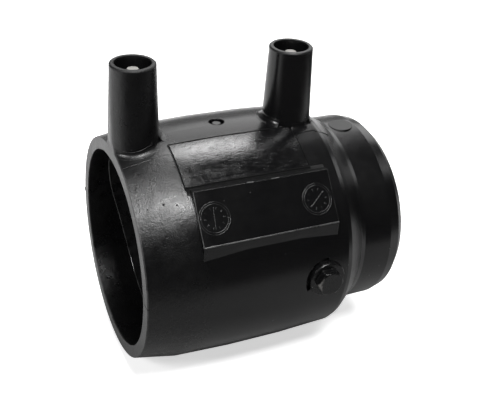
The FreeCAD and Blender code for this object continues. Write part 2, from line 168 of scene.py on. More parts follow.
feed(floorTree, floorShader, {
    "Base Color": colourMix(floorTree, floorCamera, floorMirrored, grey(floorSet["seen"])),
    "Roughness": 1.0,
    "Specular IOR Level": 0.0,
    "Emission Color": (1, 1, 1, 1),
    "Emission Strength": product(floorTree, floorCamera, floorSet["lift"]),
})
floor.data.materials.append(floorMaterial)

# World: white for the camera, otherwise dark with a grey wall behind the fitting.
worldSet = {"surroundings": 0.02, "wall": 0.32, "wallWay": (0.40, 0.92, 0.0), "wallFrom": (0.3, 0.9)}
world = bpy.data.worlds.new("studio")
world.use_nodes = True
scene.world = world
worldTree = world.node_tree
background = worldTree.nodes["Background"]
worldCamera = addNode(worldTree, "ShaderNodeLightPath").outputs["Is Camera Ray"]
worldPlace = addNode(worldTree, "ShaderNodeTexCoord").outputs["Generated"]
worldSide = vectorNode(worldTree, "DOT_PRODUCT", worldPlace, worldSet["wallWay"])
worldGrey = rangeNode(worldTree, worldSide, *worldSet["wallFrom"], worldSet["surroundings"], worldSet["wall"])
worldMix = addNode(worldTree, "ShaderNodeMix", {0: worldCamera, 2: worldGrey, 3: 1.0})
feed(worldTree, background, {"Color": (1, 1, 1, 1), "Strength": worldMix.outputs[0]})

# Lamps, all 1 m from the fitting's middle: name, direction, width and height in metres, radiance.
lampMiddle = Vector((0.045, 0, 0.01))
lampGain = 4
lampSet = [
    ("lampBehindHigh", (0.27, 0.41, 0.87), (0.28, 0.28), 11.0),
    ("lampBehindLow", (0.50, 0.72, 0.50), (0.90, 0.50), 1.25),
    ("lampFront", (-0.01, -0.49, 0.87), (0.30, 0.24), 27.0),
    ("lampAbove", (0.00, -0.11, 0.99), (0.18, 0.22), 12.0),
    ("lampLeft", (-0.72, -0.35, 0.60), (0.18, 0.18), 32.0),
    ("lampRight", (0.90, 0.00, 0.42), (0.22, 0.30), 1.5),
]
for name, direction, (width, height), radiance in lampSet:
    lamp = bpy.data.lights.new(name, "AREA")
    lamp.shape = "RECTANGLE"
    lamp.size, lamp.size_y = width, height
    lamp.energy = lampGain * radiance * width * height
    lampObject = bpy.data.objects.new(name, lamp)
    away = Vector(direction).normalized()
    across = (Vector((1, 0, 0)) - away * away.x).normalized()
    turn = Matrix((across, away.cross(across), away)).transposed().to_4x4()
    lampObject.matrix_world = Matrix.Translation(lampMiddle + away) @ turn
    scene.collection.objects.link(lampObject)
print("stage: camera, floor and lamps")

# The moulding's outside, as distance from the mouth and radius, and the plaque's sloping face. All in mm.
profile = [
    (0.0, 35.9), (12.5, 38.179), (30.4, 38.864), (48.3, 38.864), (65.30, 38.213),
    (66.92, 37.636), (73.38, 32.743), (75.0, 32.2), (86.0, 32.2),
]
plaqueAngle = math.radians(38)
plaqueOut = Vector((0, -math.cos(plaqueAngle), math.sin(plaqueAngle)))
plaqueUp = Vector((0, math.sin(plaqueAngle), math.cos(plaqueAngle)))
plaqueFace = 39.5


def surfaceRadius(x):
    for (x0, r0), (x1, r1) in zip(profile, profile[1:]):
        if x <= x1:
            return r0 + (r1 - r0) * (x - x0) / (x1 - x0)
    return profile[-1][1]


# A point on the barrel: mm from the mouth, and degrees from the top towards the plaque.
def onBarrel(x, angle, lift=0.0):
    reach = surfaceRadius(x) + lift
    turn = math.radians(angle)
    return Vector((x, -reach * math.sin(turn), reach * math.cos(turn))) * mm


# A point on the plaque's face: mm from the mouth, and mm up from the face's middle.
def onPlaque(x, rise, lift=0.0):
    return (Vector((x, 0, 0)) + plaqueOut * (plaqueFace + lift) + plaqueUp * rise) * mm


# The effect that all moulded plastic shares: grain, blotches, dust and edges a little rounded. In metres.
plasticSet = {
    "shade": (0.0038, 0.0038, 0.0041),
    "hazeShade": (0.0068, 0.0067, 0.0066),
    "dustShade": grey(0.11),
    "paleShade": grey(0.12),
    "fine": {"scale": 2200.0, "detail": 2.0, "roughness": 0.6},
    "medium": {"scale": 850.0, "detail": 2.0},
    "blotch": {"scale": 330.0, "detail": 3.0},
    "broad": {"scale": 60.0, "detail": 3.0},
    "dustPatches": {"scale": 90.0, "detail": 1.0},
    "dustCells": 260.0,
    "dustSize": (0.075, 0.045),
    "dustRare": (0.56, 0.66),
    "dustRough": 0.3,
    "hazeFrom": (0.35, 0.75),
    "haze": 0.35,
    "paleMottle": (0.30, 0.72, 0.45, 1.6),
    "roughBlotch": 0.6,
    "roughBroad": 0.4,
    "roughGain": 2.5,
    "fineHeight": 0.6,
    "mediumHeight": 0.3,
    "blotchHeight": 0.7,
    "edgeRadius": 0.0003,
    "edgeSamples": 6,
    "creases": [(0.0125, 0.0075, 0.00027), (0.0304, 0.0085, 0.00008), (0.0483, 0.0085, 0.00008)],
    "outsideFrom": (0.0335, 0.0350),
    "outsideTo": (0.0394, 0.0389),
    "cutFront": (0.0004, 0.0002),
    "cutAbove": (0.0368, 0.0390),
    "cutShroud": (0.0072, 0.0, 0.0),
}
plasticInputs = {"Base Roughness": 0.3, "Roughness Spread": 0.08, "Grain": 0.02, "Dust": 0.5, "Pale": 0.0}


# The barrel is bowed, so the creases between its cones are smoothed over.
def smoothCreases(tree, place, x, normal):
    reach = vectorNode(tree, "LENGTH", vectorNode(tree, "MULTIPLY", place, (0.0, 1.0, 1.0)))
    limits = (plasticSet["outsideFrom"], plasticSet["outsideTo"])
    outside = product(tree, *(rangeNode(tree, reach, *limit) for limit in limits))
    crown = None
    for station, half, depth in plasticSet["creases"]:
        gap = mathNode(tree, "ABSOLUTE", mathNode(tree, "SUBTRACT", x, station))
        share = mathNode(tree, "SUBTRACT", 1.0, mathNode(tree, "DIVIDE", gap, half))
        share = mathNode(tree, "MAXIMUM", share, 0.0)
        dip = product(tree, mathNode(tree, "POWER", share, 2.0), -depth)
        crown = dip if crown is None else mathNode(tree, "ADD", crown, dip)
    return bumpNode(tree, product(tree, crown, outside), 1.0, Normal=normal)


# The first shroud is cut flat by the mouth's plane; it is shaded there as if it were still round.
def roundCut(tree, place, axes, normal):
    rim = product(tree, rangeNode(tree, axes["X"], *plasticSet["cutFront"]),
                  rangeNode(tree, axes["Z"], *plasticSet["cutAbove"]))
    fromAxis = vectorNode(tree, "SUBTRACT", place, plasticSet["cutShroud"])
    outward = vectorNode(tree, "NORMALIZE", vectorNode(tree, "MULTIPLY", fromAxis, (1.0, 1.0, 0.0)))
    return addNode(tree, "ShaderNodeMix", {0: rim, 4: normal, 5: outward}, data_type="VECTOR").outputs[1]


def plasticGroup():
    tree = bpy.data.node_groups.new("mouldedPlastic", "ShaderNodeTree")
    for name, value in plasticInputs.items():
        socket = tree.interface.new_socket(name, in_out="INPUT", socket_type="NodeSocketFloat")
        socket.default_value = value
    for name, kind in (("Color", "Color"), ("Roughness", "Float"), ("Normal", "Vector")):
        tree.interface.new_socket(name, in_out="OUTPUT", socket_type="NodeSocket" + kind)
    given = addNode(tree, "NodeGroupInput").outputs
    place = objectPlace(tree)
    axes = splitAxes(tree, place)
    patterns = ("fine", "medium", "blotch", "broad", "dustPatches")
    fine, medium, blotch, broad, patches = (noiseNode(tree, place, **plasticSet[key]) for key in patterns)

    values = {"Vector": place, "Scale": plasticSet["dustCells"], "Randomness": 1.0}
    cells = addNode(tree, "ShaderNodeTexVoronoi", values)
    dust = product(tree, rangeNode(tree, cells.outputs["Distance"], *plasticSet["dustSize"]),
                   rangeNode(tree, patches, *plasticSet["dustRare"]), given["Dust"])
    haze = product(tree, rangeNode(tree, broad, *plasticSet["hazeFrom"]), plasticSet["haze"])
    colour = colourMix(tree, haze, plasticSet["shade"], plasticSet["hazeShade"])
    colour = colourMix(tree, dust, colour, plasticSet["dustShade"])
    pale = product(tree, given["Pale"], rangeNode(tree, blotch, *plasticSet["paleMottle"]))
    colour = colourMix(tree, pale, colour, plasticSet["paleShade"])

    mixed = mathNode(tree, "ADD", product(tree, blotch, plasticSet["roughBlotch"]),
                     product(tree, broad, plasticSet["roughBroad"]))
    swing = mathNode(tree, "SUBTRACT", mixed, 0.5)
    swing = product(tree, swing, given["Roughness Spread"], plasticSet["roughGain"])
    rough = mathNode(tree, "ADD", given["Base Roughness"], swing)
    rough = mathNode(tree, "ADD", rough, product(tree, dust, plasticSet["dustRough"]))

    height = mathNode(tree, "ADD", product(tree, fine, plasticSet["fineHeight"]),
                      product(tree, blotch, plasticSet["blotchHeight"]))
    height = mathNode(tree, "MULTIPLY_ADD", medium, plasticSet["mediumHeight"], height)
    values = {"Radius": plasticSet["edgeRadius"]}
    normal = addNode(tree, "ShaderNodeBevel", values, samples=plasticSet["edgeSamples"]).outputs[0]
    normal = smoothCreases(tree, place, axes["X"], normal)
    normal = bumpNode(tree, height, product(tree, given["Grain"], mm), Normal=normal)
    normal = roundCut(tree, place, axes, normal)
    addNode(tree, "NodeGroupOutput", {"Color": colour, "Roughness": rough, "Normal": normal})
    return tree


plastic = plasticGroup()


def plasticMaterial(name, roughness, spread, grain, dust=0.25, pale=0.0):
    material, tree, shader = newMaterial(name)
    values = dict(zip(plasticInputs, (roughness, spread, grain, dust, pale)))
    group = addNode(tree, "ShaderNodeGroup", values, node_tree=plastic)
    for key, made in (("Base Color", "Color"), ("Roughness", "Roughness"), ("Normal", "Normal")):
        feed(tree, shader, {key: group.outputs[made]})
    return material, tree, shader, group


# Moulding: rougher and mottled near the mouth, glossier on the plaque's face. Places are in metres.
bodySet = {
    "roughness": 0.225, "spread": 0.07, "grain": 0.014,
    "mouthFrom": (0.024, 0.010), "mouthRough": 0.08, "mouthGrain": 0.12, "mouthSpread": 0.09,
    "faceOut": (0.03942, 0.03947), "faceBelow": (0.0360, 0.0355), "faceRough": -0.06,
    "wallAbove": (0.0083, 0.0085), "wallBelow": (0.01130, 0.01100), "wallInside": (0.03946, 0.03942),
    "wallOutside": (0.0300, 0.0310), "wallFront": (0.0158, 0.0160), "wallRear": (0.0617, 0.0615),
    "scratchLevel": 0.0010, "scratchWidth": (0.00024, 0.00016), "scratchFront": (0.0009, 0.0007),
    "scratchSide": (-0.0325, -0.0330),
    "darkShade": grey(0.0018), "darkRough": 0.85,
    "ringFront": (0.0005, 0.0003), "ringBelow": (0.0385, 0.0365), "ringPaintedLight": 0.30, "ringRough": 0.10,
    "gateAbove": (0.03222, 0.03230), "gateFrom": (0.0758, 0.0762),
    "rimAbove": (0.0621, 0.0624), "topRough": 0.22,
}
bodyMaterial, bodyTree, bodyShader, bodyGroup = plasticMaterial(
    "blackPolyethylene", bodySet["roughness"], bodySet["spread"], bodySet["grain"])
bodyPlace = objectPlace(bodyTree)
bodyAxes = splitAxes(bodyTree, bodyPlace)
bodyWays = {
    "x": bodyAxes["X"], "y": bodyAxes["Y"], "z": bodyAxes["Z"],
    "out": vectorNode(bodyTree, "DOT_PRODUCT", bodyPlace, plaqueOut),
    "up": vectorNode(bodyTree, "DOT_PRODUCT", bodyPlace, plaqueUp),
}


# A part of the moulding, as the product of soft limits along its ways.
def bodyZone(*limits):
    return product(bodyTree, *(rangeNode(bodyTree, bodyWays[way], *bodySet[key]) for way, key in limits))


nearMouth = bodyZone(("x", "mouthFrom"))
onFace = bodyZone(("out", "faceOut"), ("z", "faceBelow"))
# The plaque's upper wall is painted dark and dull as painted shadow from the gap, and the ring at the mouth
# has a dark scratch.
onWall = bodyZone(("up", "wallAbove"), ("up", "wallBelow"), ("out", "wallInside"), ("x", "wallFront"),
                  ("x", "wallRear"), ("out", "wallOutside"))
scratchGap = mathNode(bodyTree, "SUBTRACT", bodyWays["z"], bodySet["scratchLevel"])
scratchGap = mathNode(bodyTree, "ABSOLUTE", scratchGap)
onScratch = product(bodyTree, rangeNode(bodyTree, scratchGap, *bodySet["scratchWidth"]),
                    bodyZone(("x", "scratchFront")), bodyZone(("y", "scratchSide")))
paintedShadeAndScratch = mathNode(bodyTree, "MAXIMUM", onWall, onScratch)
# The ring round the mouth is trimmed and duller; it is painted a little paler, a painted highlight for the
# light falling on its face.
onRing = bodyZone(("x", "ringFront"), ("z", "ringBelow"))
# The gate mark and the shrouds' rims are duller than the sides.
onGate = bodyZone(("z", "gateAbove"), ("x", "gateFrom"))
onTops = mathNode(bodyTree, "MAXIMUM", onGate, bodyZone(("z", "rimAbove")))

bodyRough = bodySet["roughness"]
roughZones = [(nearMouth, "mouthRough"), (onFace, "faceRough"), (onRing, "ringRough"), (onTops, "topRough")]
for zone, key in roughZones:
    bodyRough = mathNode(bodyTree, "MULTIPLY_ADD", zone, bodySet[key], bodyRough)
bodySpread = mathNode(bodyTree, "MULTIPLY_ADD", nearMouth, bodySet["mouthSpread"], bodySet["spread"])
bodyGrain = mathNode(bodyTree, "MULTIPLY_ADD", nearMouth, bodySet["mouthGrain"], bodySet["grain"])
feed(bodyTree, bodyGroup, {
    "Base Roughness": bodyRough, "Roughness Spread": bodySpread, "Grain": bodyGrain,
    "Pale": product(bodyTree, onRing, bodySet["ringPaintedLight"]),
})
shadeAndScratchRough = product(bodyTree, paintedShadeAndScratch, bodySet["darkRough"])
feed(bodyTree, bodyShader, {
    "Base Color": colourMix(bodyTree, paintedShadeAndScratch, bodyGroup.outputs["Color"], bodySet["darkShade"]),
    "Roughness": mathNode(bodyTree, "MAXIMUM", bodyGroup.outputs["Roughness"], shadeAndScratchRough),
})

# Other plastics: roughness, its spread, grain, dust and paleness.
sleeveMaterial = plasticMaterial("blackSleeve", 0.28, 0.06, 0.010, 0.2, 0.06)[0]
indicatorMaterial = plasticMaterial("blackIndicator", 0.24, 0.05, 0.008, 0.2)[0]
# Thin edges, lines and dials are a little paler: a slight painted highlight.
beadMaterial = plasticMaterial("blackEdge", 0.24, 0.10, 0.030, 0.0, 0.10)[0]
# Rubbed burrs painted paler: partly real whitening, partly painted highlight where edges catch the light.
paleBurrAndHighlight = plasticMaterial("rubbedEdgeAndPaintedHighlight", 0.30, 0.10, 0.030, 0.0, 0.45)[0]
# Painted glints: a pale colour standing in for highlights on edges.
paintedGlintMaterial = plasticMaterial("paintedGlintEdge", 0.30, 0.12, 0.030, 0.0, 1.30)[0]

# Materials whose colour and roughness follow one noise. The mould's gaps and pits get a dark, dull material:
# painted shade where they lie in shadow.
noiseSpan = (0.3, 0.7)
seamShadeLook = {
    "scale": 700.0, "detail": 2.0, "shades": [(0.0015, 0.0015, 0.0016), grey(0.005)],
    "roughness": (0.7, 0.9), "fixed": {"Specular IOR Level": 0.12},
}
wireLook = {
    "scale": 900.0, "detail": 3.0, "shades": [(0.48, 0.27, 0.16), (0.62, 0.38, 0.24)],
    "roughness": (0.26, 0.38), "bump": 0.00001, "fixed": {"Metallic": 1.0},
}
pinLook = {
    "scale": 1400.0, "detail": 3.0, "shades": [(0.30, 0.29, 0.27), (0.42, 0.41, 0.39)],
    "roughness": (0.32, 0.44), "bump": 0.00001, "fixed": {"Metallic": 1.0},
}


def noisyMaterial(name, look):
    material, tree, shader = newMaterial(name)
    noise = noiseNode(tree, objectPlace(tree), look["scale"], look["detail"])
    feed(tree, shader, {
        "Base Color": colourMix(tree, noise, *look["shades"]),
        "Roughness": rangeNode(tree, noise, *noiseSpan, *look["roughness"]),
        **look["fixed"],
    })
    if "bump" in look:
        feed(tree, shader, {"Normal": bumpNode(tree, noise, look["bump"])})
    return material


seamShadeMaterial = noisyMaterial("seamShadow", seamShadeLook)
wireMaterial = noisyMaterial("coilWire", wireLook)
pinMaterial = noisyMaterial("tinnedPin", pinLook)


def dress(nodeName, material):
    node = nodes[nodeName]
    if not node.data.materials:
        node.data.materials.append(material)
    for slot in node.material_slots:
        slot.link = "OBJECT"
        slot.material = material


for nodeName, material in (
    ("fitting_body", bodyMaterial), ("coil_sleeve", sleeveMaterial), ("heating_coil", wireMaterial),
    ("terminal_pin_mouth", pinMaterial), ("terminal_pin_closed", pinMaterial),
    ("fusion_indicator", indicatorMaterial),
):
    dress(nodeName, material)
print("stage: materials")


def newPiece(name, points, faces, material, sharp=35.0):
    mesh = bpy.data.meshes.new(name)
    mesh.from_pydata(points, [], faces)
    work = bmesh.new()
    work.from_mesh(mesh)
    bmesh.ops.remove_doubles(work, verts=work.verts, dist=1e-7)
    bmesh.ops.recalc_face_normals(work, faces=work.faces)
    work.to_mesh(mesh)
    work.free()
    mesh.polygons.foreach_set("use_smooth", [True] * len(mesh.polygons))
    mesh.set_sharp_from_angle(angle=math.radians(sharp))
    mesh.materials.append(material)
    return placePiece(name, mesh)


def placePiece(name, mesh):
    piece = bpy.data.objects.new(name, mesh)
    scene.collection.objects.link(piece)
    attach(piece, "root")
    return piece


# Faces between rings of points that follow each other, where each ring is a closed section.
def ringFaces(rings, count, closed=True):
    faces = []
    for ring in range(rings if closed else rings - 1):
        here, there = ring * count, (ring + 1) % rings * count
        for index in range(count):
            after = (index + 1) % count
            faces.append((here + index, there + index, there + after, here + after))
    return faces


# Faces of a thin slab: an outer grid of points, an inner one after it, and the rim between them.
def slabFaces(rows, columns, rimBack=False):
    layer = (rows + 1) * (columns + 1)

    def spot(row, column, side=0):
        return side * layer + row * (columns + 1) + column

    faces = []
    for row in range(rows):
        for column in range(columns):
            corners = ((row, column), (row, column + 1), (row + 1, column + 1), (row + 1, column))
            square = [spot(*corner) for corner in corners]
            faces.append(square)
            faces.append([index + layer for index in reversed(square)])
    rim = [(0, column) for column in range(columns)] + [(row, columns) for row in range(rows)]
    rim += [(rows, column) for column in range(columns, 0, -1)] + [(row, 0) for row in range(rows, 0, -1)]
    if rimBack:
        rim.reverse()
    for here, there in zip(rim, rim[1:] + rim[:1]):
        faces.append([spot(*here), spot(*here, 1), spot(*there, 1), spot(*there)])
    return faces


# Foot fillets: a ball rolled round each shroud's foot, with the back of the strip inside the moulding.
filletSet = {
    "radius": 2.1, "rim": 62.55, "rimRadius": 6.95, "draft": 2.2, "around": 96, "steps": 9, "buried": 0.5,
    "stations": {"footFilletMouth": 7.2, "footFilletClosed": 58.7},
    "beforeMouth": (-6.0, 34.8), "behindMouth": 0.02, "search": (30.0, 50.0), "halvings": 40, "sharp": 60.0,
}


def nearestOnProfile(x, reach):
    best = None
    for (x0, r0), (x1, r1) in zip([filletSet["beforeMouth"], *profile], profile):
        share = ((x - x0) * (x1 - x0) + (reach - r0) * (r1 - r0)) / ((x1 - x0) ** 2 + (r1 - r0) ** 2)
        share = min(max(share, 0.0), 1.0)
        nearX, nearR = x0 + (x1 - x0) * share, r0 + (r1 - r0) * share
        gap = math.hypot(x - nearX, reach - nearR)
        if best is None or gap < best[0]:
            best = (gap, nearX, nearR)
    return best


def footFillet(name, station):
    draft = math.radians(filletSet["draft"])
    radius, around, steps, buried = (filletSet[key] for key in ("radius", "around", "steps", "buried"))
    points = []
    for turn in range(around):
        phi = 2 * math.pi * turn / around
        away = Vector((math.cos(phi), math.sin(phi), 0))
        normal = away * math.cos(draft) + Vector((0, 0, math.sin(draft)))

        def contact(z):
            side = filletSet["rimRadius"] + (filletSet["rim"] - z) * math.tan(draft)
            return Vector((station, 0, z)) + away * side

        low, high = filletSet["search"]
        for _ in range(filletSet["halvings"]):
            z = (low + high) / 2
            centre = contact(z) + normal * radius
            gap = nearestOnProfile(centre.x, math.hypot(centre.y, centre.z))[0]
            low, high = (z, high) if gap < radius else (low, z)
        touch = contact(z)
        centre = touch + normal * radius
        reach = math.hypot(centre.y, centre.z)
        _, footX, footR = nearestOnProfile(centre.x, reach)
        foot = Vector((footX, centre.y / reach * footR, centre.z / reach * footR))
        first, last = (touch - centre).normalized(), (foot - centre).normalized()
        down = Vector((0, foot.y, foot.z)).normalized() * buried
        ring = [touch - away * buried]
        ring += [centre + first.slerp(last, step / steps) * radius for step in range(steps + 1)]
        ring += [foot - down, Vector((touch.x, touch.y, foot.z)) - away * buried - down * 2]
        for point in ring:
            point.x = max(point.x, filletSet["behindMouth"])
            points.append(point * mm)
    faces = ringFaces(around, len(points) // around)
    newPiece(name, points, faces, bodyMaterial, filletSet["sharp"])


for name, station in filletSet["stations"].items():
    footFillet(name, station)
print("stage: foot fillets")

# Size panel: an insert of the mould left this patch a little proud and glossier than the barrel.
panelSet = {
    "front": 16.0, "rear": 56.6, "top": 10.4, "bottom": 35.3, "lift": 0.055, "depth": 0.4,
    "columns": 56, "rows": 26,
}
# The panel's own map runs in millimetres, along the axis and round the barrel.
panelLook = {
    "mapRadius": 38.9,
    "streak": {"scale": (0.35, 1.3, 1.0), "turn": 9.0, "detail": 4.0},
    "cloud": {"scale": (0.14, 0.30, 1.0), "turn": -8.0, "detail": 3.0},
    "wave": {"scale": (0.04, 0.12, 1.0), "turn": 4.0, "detail": 1.0},
    "noiseRoughness": 0.6,
    "streakRough": (0.35, 0.72, -0.03, 0.10),
    "cloudRough": (0.35, 0.68, 0.15, 0.23),
    "streakHeight": 0.11,
    "cloudHeight": 0.30,
    "bump": 0.00016,
}
panelMaterial, panelTree, panelShader, panelGroup = plasticMaterial("panelInsert", 0.22, 0.08, 0.070, 0.4)
panelPlace = addNode(panelTree, "ShaderNodeUVMap", uv_map="panelMap").outputs[0]


def panelNoise(scale, turn, detail):
    values = {"Vector": panelPlace, "Rotation": (0, 0, math.radians(turn)), "Scale": scale}
    spun = addNode(panelTree, "ShaderNodeMapping", values).outputs[0]
    return noiseNode(panelTree, spun, 1.0, detail, panelLook["noiseRoughness"])


panelStreak, panelCloud, panelWave = (panelNoise(**panelLook[key]) for key in ("streak", "cloud", "wave"))
panelRough = mathNode(panelTree, "ADD", rangeNode(panelTree, panelStreak, *panelLook["streakRough"]),
                      rangeNode(panelTree, panelCloud, *panelLook["cloudRough"]))
panelHeight = mathNode(panelTree, "ADD", product(panelTree, panelStreak, panelLook["streakHeight"]),
                       product(panelTree, panelCloud, panelLook["cloudHeight"]))
panelHeight = mathNode(panelTree, "ADD", panelHeight, panelWave)
panelNormal = bumpNode(panelTree, panelHeight, panelLook["bump"], Normal=panelGroup.outputs["Normal"])
feed(panelTree, panelGroup, {"Base Roughness": panelRough})
feed(panelTree, panelShader, {"Normal": panelNormal})


# A curved slab on the barrel, with the panel's map on it.
def patch(name, settings, material):
    front, rear, top, bottom = (settings[key] for key in ("front", "rear", "top", "bottom"))
    columns, rows = settings["columns"], settings["rows"]
    points = []
    for lift in (settings["lift"], -settings["depth"]):
        for row in range(rows + 1):
            angle = top + (bottom - top) * row / rows
            points += [onBarrel(front + (rear - front) * column / columns, angle, lift)
                       for column in range(columns + 1)]
    piece = newPiece(name, points, slabFaces(rows, columns), material)
    chart = piece.data.uv_layers.new(name="panelMap")
    for loop in piece.data.loops:
        point = piece.data.vertices[loop.vertex_index].co / mm
        chart.data[loop.index].uv = (point.x, math.atan2(-point.y, point.z) * panelLook["mapRadius"])


patch("sizePanel", panelSet, panelMaterial)

# The gap between the panel and the plaque lies in shadow, and so does the gap's end behind the panel: dark
# patches on them are painted shadow.
gapSet = {
    "front": 15.95, "rear": 57.0, "top": 35.2, "bottom": 38.35, "lift": 0.02, "depth": 0.3,
    "columns": 56, "rows": 4,
}
gapEndSet = {**gapSet, "front": 57.0, "rear": 61.4, "top": 36.9, "columns": 6}
patch("panelPlaqueGap", gapSet, seamShadeMaterial)
patch("plaqueRearGap", gapEndSet, seamShadeMaterial)

# The plaque's upper wall lies in the same shadow: a thin dark strip of painted shadow on it, whose section is
# in mm up and out.
shadeSet = {
    "front": 17.15, "rear": 61.35, "columns": 12,
    "section": [(9.13, 39.48), (10.17, 37.36), (9.90, 37.36), (9.00, 39.30)],
}


def plaqueShade():
    front, rear, columns, section = (shadeSet[key] for key in ("front", "rear", "columns", "section"))
    points = []
    for column in range(columns + 1):
        x = front + (rear - front) * column / columns
        points += [onPlaque(x, rise, out - plaqueFace) for rise, out in section]
    count, last = len(section), columns * len(section)
    faces = ringFaces(columns + 1, count, closed=False)
    faces += [tuple(range(count)), tuple(range(last, last + count))]
    newPiece("plaqueTopShade", points, faces, seamShadeMaterial)


plaqueShade()
print("stage: size panel")


# A tree takes its source geometry, its numbers and a material.
def newTree(name, floats, integers=()):
    tree = bpy.data.node_groups.new(name, "GeometryNodeTree")
    kinds = {"Geometry": "Geometry", **dict.fromkeys(floats, "Float"), **dict.fromkeys(integers, "Int")}
    kinds["Material"] = "Material"
    for key, kind in kinds.items():
        tree.interface.new_socket(key, in_out="INPUT", socket_type="NodeSocket" + kind)
    tree.interface.new_socket("Geometry", in_out="OUTPUT", socket_type="NodeSocketGeometry")
    return tree, addNode(tree, "NodeGroupInput").outputs


# Both trees end alike: smooth shading, real geometry and the piece's material.
def endTree(tree, geometry, material):
    smooth = addNode(tree, "GeometryNodeSetShadeSmooth", {0: geometry})
    real = addNode(tree, "GeometryNodeRealizeInstances", {0: smooth.outputs[0]})
    coat = addNode(tree, "GeometryNodeSetMaterial", {"Geometry": real.outputs[0], "Material": material})
    addNode(tree, "NodeGroupOutput", {0: coat.outputs[0]})
    return tree


# Geometry Nodes: a thin line that follows a path on the surface, uneven in width and way.
pathSet = {
    "step": 0.0004, "swayScale": 160.0, "widthScale": 420.0, "detail": 2.0, "sides": 8, "thinnest": 0.15,
}


def pathTree():
    tree, given = newTree("followPath", ("Radius", "Wobble", "Uneven", "Seed"))
    place = addNode(tree, "GeometryNodeInputPosition").outputs[0]

    def pathNoise(scale):
        values = {"Vector": place, "W": given["Seed"], "Scale": scale, "Detail": pathSet["detail"]}
        return addNode(tree, "ShaderNodeTexNoise", values, noise_dimensions="4D").outputs

    curve = addNode(tree, "GeometryNodeMeshToCurve", {0: given["Geometry"]})
    values = {"Curve": curve.outputs[0], "Length": pathSet["step"]}
    even = addNode(tree, "GeometryNodeResampleCurve", values, mode="LENGTH")
    centred = vectorNode(tree, "SUBTRACT", pathNoise(pathSet["swayScale"])["Color"], grey(0.5))
    values = {0: centred, "Scale": given["Wobble"]}
    sway = addNode(tree, "ShaderNodeVectorMath", values, operation="SCALE")
    moved = addNode(tree, "GeometryNodeSetPosition", {"Geometry": even.outputs[0], "Offset": sway.outputs[0]})
    width = mathNode(tree, "SUBTRACT", pathNoise(pathSet["widthScale"])[0], 0.5)
    width = mathNode(tree, "ADD", product(tree, width, given["Uneven"]), 1.0)
    width = mathNode(tree, "MAXIMUM", width, pathSet["thinnest"])
    thick = addNode(tree, "GeometryNodeSetCurveRadius", {0: moved.outputs[0], "Radius": width})
    values = {"Resolution": pathSet["sides"], "Radius": given["Radius"]}
    circle = addNode(tree, "GeometryNodeCurvePrimitiveCircle", values)
    values = {"Curve": thick.outputs[0], "Profile Curve": circle.outputs[0], "Fill Caps": True}
    tube = addNode(tree, "GeometryNodeCurveToMesh", values)
    return endTree(tree, tube.outputs[0], given["Material"])


followPath = pathTree()


def grown(name, mesh, tree, values, material):
    source = bpy.data.objects.new(name + "Path", mesh)
    scene.collection.objects.link(source)
    modifier = source.modifiers.new("grow", "NODES")
    modifier.node_group = tree
    sockets = {item.name: item.identifier for item in tree.interface.items_tree if item.in_out == "INPUT"}
    for key, value in {**values, "Material": material}.items():
        modifier[sockets[key]] = value
    graph = bpy.context.evaluated_depsgraph_get()
    made = bpy.data.meshes.new_from_object(source.evaluated_get(graph))
    source.modifiers.remove(modifier)
    bpy.data.objects.remove(source)
    made.name = name
    return placePiece(name, made)


def line(name, points, radius, material, wobble, uneven, seed):
    mesh = bpy.data.meshes.new(name + "Path")
    mesh.from_pydata(points, [(index, index + 1) for index in range(len(points) - 1)], [])
    values = {"Radius": radius * mm, "Wobble": wobble * mm, "Uneven": uneven, "Seed": seed}
    grown(name, mesh, followPath, values, material)


# Points along a path of (mm from the mouth, degrees from the top), one for each step or less.
barrelPath = {"step": 0.8, "mmPerDegree": 0.68}


def along(path, lift):
    points = []
    for (x0, a0), (x1, a1) in zip(path, path[1:]):
        span = max(abs(x1 - x0), abs(a1 - a0) * barrelPath["mmPerDegree"])
        count = max(1, int(span / barrelPath["step"]))
        points += [onBarrel(x0 + (x1 - x0) * part / count, a0 + (a1 - a0) * part / count, lift)
                   for part in range(count)]
    return points + [onBarrel(*path[-1], lift)]


# Dark lines of painted shade: the gaps round the panel, and the mould's parting line behind it. Name, path,
# radius, wobble.
seamSet = [
    ("panelTopGap", [(15.9, 10.2), (56.8, 10.2)], 0.28, 0.006),
    ("panelFrontGap", [(15.9, 10.3), (15.9, 37.0)], 0.23, 0.006),
    ("panelBottomGap", [(15.9, 35.5), (57.0, 35.4)], 0.30, 0.006),
    ("panelRearGap", [(56.7, 10.3), (56.8, 35.3)], 0.09, 0.015),
    ("partingRear", [(57.5, 15.9), (61.0, 15.0), (64.0, 15.0), (66.0, 16.3), (68.2, 15.6), (69.9, 14.8)],
     0.12, 0.075),
]
seamSunk, seamUneven = 0.45, 0.6
for index, (name, path, radius, wobble) in enumerate(seamSet):
    points = along(path, panelSet["lift"] - radius * seamSunk)
    line(name, points, radius, seamShadeMaterial, wobble, seamUneven, index + 1.0)

# The parting line and a lip in front of the panel: name, path, lift, radius, wobble, unevenness, seed.
lipSet = [
    ("partingFront", [(0.15, 17.6), (7.4, 16.9), (11.4, 16.6), (15.6, 16.2)], -0.05, 0.10, 0.05, 0.6, 1.0),
    ("panelFrontLip", [(15.55, 10.5), (15.55, 33.0)], -0.10, 0.17, 0.04, 0.8, 7.0),
]
for name, path, lift, radius, wobble, uneven, seed in lipSet:
    line(name, along(path, lift), radius, beadMaterial, wobble, uneven, seed)
print("stage: gaps and parting lines")


# Points along a path of (mm from the mouth, mm up) on the plaque's face.
def onPlate(path, lift, count):
    points = []
    for (x0, s0), (x1, s1) in zip(path, path[1:]):
        points += [onPlaque(x0 + (x1 - x0) * part / count, s0 + (s1 - s0) * part / count, lift)
                   for part in range(count)]
    return points + [onPlaque(*path[-1], lift)]
